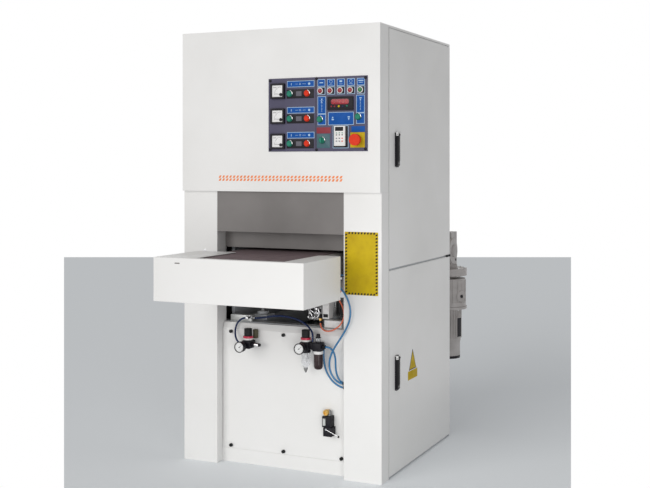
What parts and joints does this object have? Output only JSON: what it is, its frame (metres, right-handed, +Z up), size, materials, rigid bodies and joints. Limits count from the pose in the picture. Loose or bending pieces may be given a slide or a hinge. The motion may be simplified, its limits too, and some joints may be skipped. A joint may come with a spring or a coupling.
{
  "type": "wide-belt wood sanding machine",
  "caption": "Free-standing wide-belt wood sander: tall sheet-metal cabinet with control panel, sanding heads above a powered feed table, and air regulators under the infeed shroud.",
  "frame": {"origin": "on the floor, in the middle of the anchor holes", "axes": "+Z up; +Y along the feed, from the infeed side at the front to the outfeed side at the rear; +X to the operator's right when facing the machine from the infeed side"},
  "size_m": [0.973, 1.6593, 1.95],
  "materials": {
    "white_paint": "fine-textured white powder coat",
    "frame_paint": "matt grey structure paint",
    "guard_grey": "matt dark grey powder coat",
    "bare_steel": "turned steel",
    "zinc_steel": "zinc-plated, satin",
    "chrome_trim": "bright plated",
    "gear_grey": "light grey machine enamel",
    "motor_paint": "blue-grey machine enamel",
    "cast_grey": "as cast, machined in the grooves",
    "aluminium_cast": "die-cast, satin",
    "feed_rubber": "fine-ribbed dull rubber",
    "drum_rubber": "ground hard rubber",
    "press_rubber": "smooth rubber",
    "abrasive": "abrasive grain on cloth",
    "belt_rubber": "dull belt rubber",
    "hose_blue": "smooth polyurethane tube",
    "hose_dark_blue": "smooth polyurethane tube",
    "hose_orange": "smooth polyurethane tube",
    "panel_blue": "dark violet-blue satin lacquer",
    "legend_blue": "printed plate",
    "legend_grey": "printed plate",
    "legend_white": "printed plate",
    "legend_red": "printed plate",
    "notice_yellow": "printed film",
    "trim_orange": "printed film",
    "instrument_black": "moulded plastic",
    "dial_white": "printed dial",
    "display_dark": "tinted display window",
    "display_lit": "lit digits",
    "button_green": "moulded plastic",
    "button_red": "moulded plastic",
    "lamp_red": "tinted lens",
    "lamp_green": "tinted lens",
    "black_plastic": "grained moulded plastic",
    "clear_bowl": "clear polycarbonate",
    "oil_bowl": "smoked polycarbonate",
    "ring_red": "moulded plastic ring",
    "ring_white": "moulded plastic ring",
    "brass_fitting": "turned brass",
    "gauge_glass": "clear lens"
  },
  "bodies": {
    "root": {"base_frame": "frame_paint", "main_frame": "frame_paint", "left_column": "white_paint", "right_column": "white_paint", "front_hood": "white_paint", "top_cover": "white_paint", "fixed_covers": "white_paint", "throat_plate": "guard_grey", "lower_front_cover": "white_paint", "kick_rail": "white_paint", "thumb_screws": "black_plastic", "control_panel": "panel_blue", "panel_instruments": "instrument_black", "air_regulator": "aluminium_cast", "air_filter_lubricator": "aluminium_cast", "air_valves": "aluminium_cast", "hose_table": "hose_blue", "hose_outlet": "hose_blue", "hose_inlet": "hose_blue", "hose_bay": "hose_dark_blue", "hose_regulator": "hose_dark_blue", "hose_brake": "hose_orange", "head_frames": "frame_paint", "sanding_belts": "abrasive", "main_motors": "motor_paint", "v_belts": "belt_rubber"},
    "table": {"infeed_shroud": "white_paint", "table_frame": "gear_grey", "feed_belt": "feed_rubber", "gearmotor": "gear_grey", "lift_screws": "bare_steel"},
    "drive_roller": {"drive_roller": "bare_steel"},
    "idler_roller": {"idler_roller": "bare_steel"},
    "speed_handwheel": {"speed_handwheel": "black_plastic"},
    "upper_door": {"upper_door": "white_paint"},
    "lower_door": {"lower_door": "white_paint"},
    "upper_handle": {"upper_handle": "black_plastic"},
    "lower_handle": {"lower_handle": "black_plastic"},
    "start_button_1": {"start_button_1": "button_green"},
    "start_button_2": {"start_button_2": "button_green"},
    "start_button_3": {"start_button_3": "button_green"},
    "stop_button_1": {"stop_button_1": "button_red"},
    "stop_button_2": {"stop_button_2": "button_red"},
    "stop_button_3": {"stop_button_3": "button_red"},
    "raise_button": {"raise_button": "button_green"},
    "lower_button": {"lower_button": "button_green"},
    "mode_selector": {"mode_selector": "button_green"},
    "emergency_stop": {"emergency_stop": "button_red"},
    "regulator_knob_left": {"regulator_knob_left": "black_plastic"},
    "regulator_knob_right": {"regulator_knob_right": "black_plastic"},
    "valve_lever": {"valve_lever": "black_plastic"},
    "contact_drum_1": {"contact_drum_1": "drum_rubber"},
    "contact_drum_2": {"contact_drum_2": "drum_rubber"},
    "nose_roller": {"nose_roller": "bare_steel"},
    "tension_roller_1": {"tension_roller_1": "bare_steel"},
    "tension_roller_2": {"tension_roller_2": "bare_steel"},
    "motor_pulley_1": {"motor_pulley_1": "cast_grey"},
    "motor_pulley_2": {"motor_pulley_2": "cast_grey"},
    "pressure_roller_front": {"pressure_roller_front": "press_rubber"},
    "pressure_roller_rear": {"pressure_roller_rear": "press_rubber"}
  },
  "joints": [
    {"name": "table_slide", "type": "slide", "parent": "root", "child": "table", "axis": [0, 0, 1], "range_m": [-0.1, 0.007]},
    {"name": "drive_roller_spin", "type": "hinge", "parent": "table", "child": "drive_roller", "pos_m": [0, 0.585, 0.8857], "axis": [-1, 0, 0], "continuous": true},
    {"name": "idler_roller_spin", "type": "hinge", "parent": "table", "child": "idler_roller", "pos_m": [0, -0.815, 0.8857], "axis": [-1, 0, 0], "continuous": true},
    {"name": "handwheel_turn", "type": "hinge", "parent": "table", "child": "speed_handwheel", "pos_m": [0.4, 0.74, 0.672], "axis": [0, 1, 0], "range_deg": [0, 720]},
    {"name": "upper_door_hinge", "type": "hinge", "parent": "root", "child": "upper_door", "pos_m": [0.465, 0.435, 1.384], "axis": [0, 0, 1], "range_deg": [0, 110]},
    {"name": "lower_door_hinge", "type": "hinge", "parent": "root", "child": "lower_door", "pos_m": [0.465, 0.435, 0.44], "axis": [0, 0, 1], "range_deg": [0, 110]},
    {"name": "upper_handle_pull", "type": "hinge", "parent": "upper_door", "child": "upper_handle", "pos_m": [0.485, -0.277, 1.444], "axis": [0, -1, 0], "range_deg": [0, 45]},
    {"name": "lower_handle_pull", "type": "hinge", "parent": "lower_door", "child": "lower_handle", "pos_m": [0.485, -0.277, 0.496], "axis": [0, -1, 0], "range_deg": [0, 45]},
    {"name": "start_button_1_press", "type": "slide", "parent": "root", "child": "start_button_1", "axis": [0, 1, 0], "range_m": [0, 0.004], "stiffness_N_per_m": 600, "springref_m": -0.002},
    {"name": "start_button_2_press", "type": "slide", "parent": "root", "child": "start_button_2", "axis": [0, 1, 0], "range_m": [0, 0.004], "stiffness_N_per_m": 600, "springref_m": -0.002},
    {"name": "start_button_3_press", "type": "slide", "parent": "root", "child": "start_button_3", "axis": [0, 1, 0], "range_m": [0, 0.004], "stiffness_N_per_m": 600, "springref_m": -0.002},
    {"name": "stop_button_1_press", "type": "slide", "parent": "root", "child": "stop_button_1", "axis": [0, 1, 0], "range_m": [0, 0.004], "stiffness_N_per_m": 600, "springref_m": -0.002},
    {"name": "stop_button_2_press", "type": "slide", "parent": "root", "child": "stop_button_2", "axis": [0, 1, 0], "range_m": [0, 0.004], "stiffness_N_per_m": 600, "springref_m": -0.002},
    {"name": "stop_button_3_press", "type": "slide", "parent": "root", "child": "stop_button_3", "axis": [0, 1, 0], "range_m": [0, 0.004], "stiffness_N_per_m": 600, "springref_m": -0.002},
    {"name": "raise_button_press", "type": "slide", "parent": "root", "child": "raise_button", "axis": [0, 1, 0], "range_m": [0, 0.004], "stiffness_N_per_m": 600, "springref_m": -0.002},
    {"name": "lower_button_press", "type": "slide", "parent": "root", "child": "lower_button", "axis": [0, 1, 0], "range_m": [0, 0.004], "stiffness_N_per_m": 600, "springref_m": -0.002},
    {"name": "selector_turn", "type": "hinge", "parent": "root", "child": "mode_selector", "pos_m": [0.214, -0.47, 1.419], "axis": [0, 1, 0], "range_deg": [0, 60]},
    {"name": "emergency_stop_press", "type": "slide", "parent": "root", "child": "emergency_stop", "axis": [0, 1, 0], "range_m": [0, 0.006]},
    {"name": "left_knob_turn", "type": "hinge", "parent": "root", "child": "regulator_knob_left", "pos_m": [-0.15, -0.445, 0.575], "axis": [0, 0, 1], "range_deg": [-540, 540]},
    {"name": "right_knob_turn", "type": "hinge", "parent": "root", "child": "regulator_knob_right", "pos_m": [0.129, -0.445, 0.59], "axis": [0, 0, 1], "range_deg": [-540, 540]},
    {"name": "valve_lever_turn", "type": "hinge", "parent": "root", "child": "valve_lever", "pos_m": [0.22, -0.44, 0.2], "axis": [0, -1, 0], "range_deg": [0, 90]},
    {"name": "drum_1_spin", "type": "hinge", "parent": "root", "child": "contact_drum_1", "pos_m": [0, -0.145, 1.0255], "axis": [-1, 0, 0], "continuous": true},
    {"name": "tension_roller_1_spin", "type": "hinge", "parent": "root", "child": "tension_roller_1", "pos_m": [0, -0.145, 1.781], "axis": [-1, 0, 0], "continuous": true},
    {"name": "motor_pulley_1_spin", "type": "hinge", "parent": "root", "child": "motor_pulley_1", "pos_m": [-0.3, -0.145, 0.23], "axis": [-1, 0, 0], "continuous": true},
    {"name": "drum_2_spin", "type": "hinge", "parent": "root", "child": "contact_drum_2", "pos_m": [0, 0.095, 1.0105], "axis": [-1, 0, 0], "continuous": true},
    {"name": "nose_roller_spin", "type": "hinge", "parent": "root", "child": "nose_roller", "pos_m": [0, 0.245, 0.9805], "axis": [-1, 0, 0], "continuous": true},
    {"name": "tension_roller_2_spin", "type": "hinge", "parent": "root", "child": "tension_roller_2", "pos_m": [0, 0.165, 1.725], "axis": [-1, 0, 0], "continuous": true},
    {"name": "motor_pulley_2_spin", "type": "hinge", "parent": "root", "child": "motor_pulley_2", "pos_m": [-0.3, 0.175, 0.23], "axis": [-1, 0, 0], "continuous": true},
    {"name": "front_pressure_roller_spin", "type": "hinge", "parent": "root", "child": "pressure_roller_front", "pos_m": [0, -0.262, 0.979], "axis": [-1, 0, 0], "continuous": true},
    {"name": "rear_pressure_roller_spin", "type": "hinge", "parent": "root", "child": "pressure_roller_rear", "pos_m": [0, 0.317, 0.979], "axis": [-1, 0, 0], "continuous": true}
  ],
  "couplings": [
    {"joint": "idler_roller_spin", "follows": "drive_roller_spin", "ratio": 1},
    {"joint": "tension_roller_1_spin", "follows": "drum_1_spin", "ratio": 1.6667},
    {"joint": "motor_pulley_1_spin", "follows": "drum_1_spin", "ratio": 0.725},
    {"joint": "nose_roller_spin", "follows": "drum_2_spin", "ratio": 2},
    {"joint": "tension_roller_2_spin", "follows": "drum_2_spin", "ratio": 1.3333},
    {"joint": "motor_pulley_2_spin", "follows": "drum_2_spin", "ratio": 0.725}
  ]
}
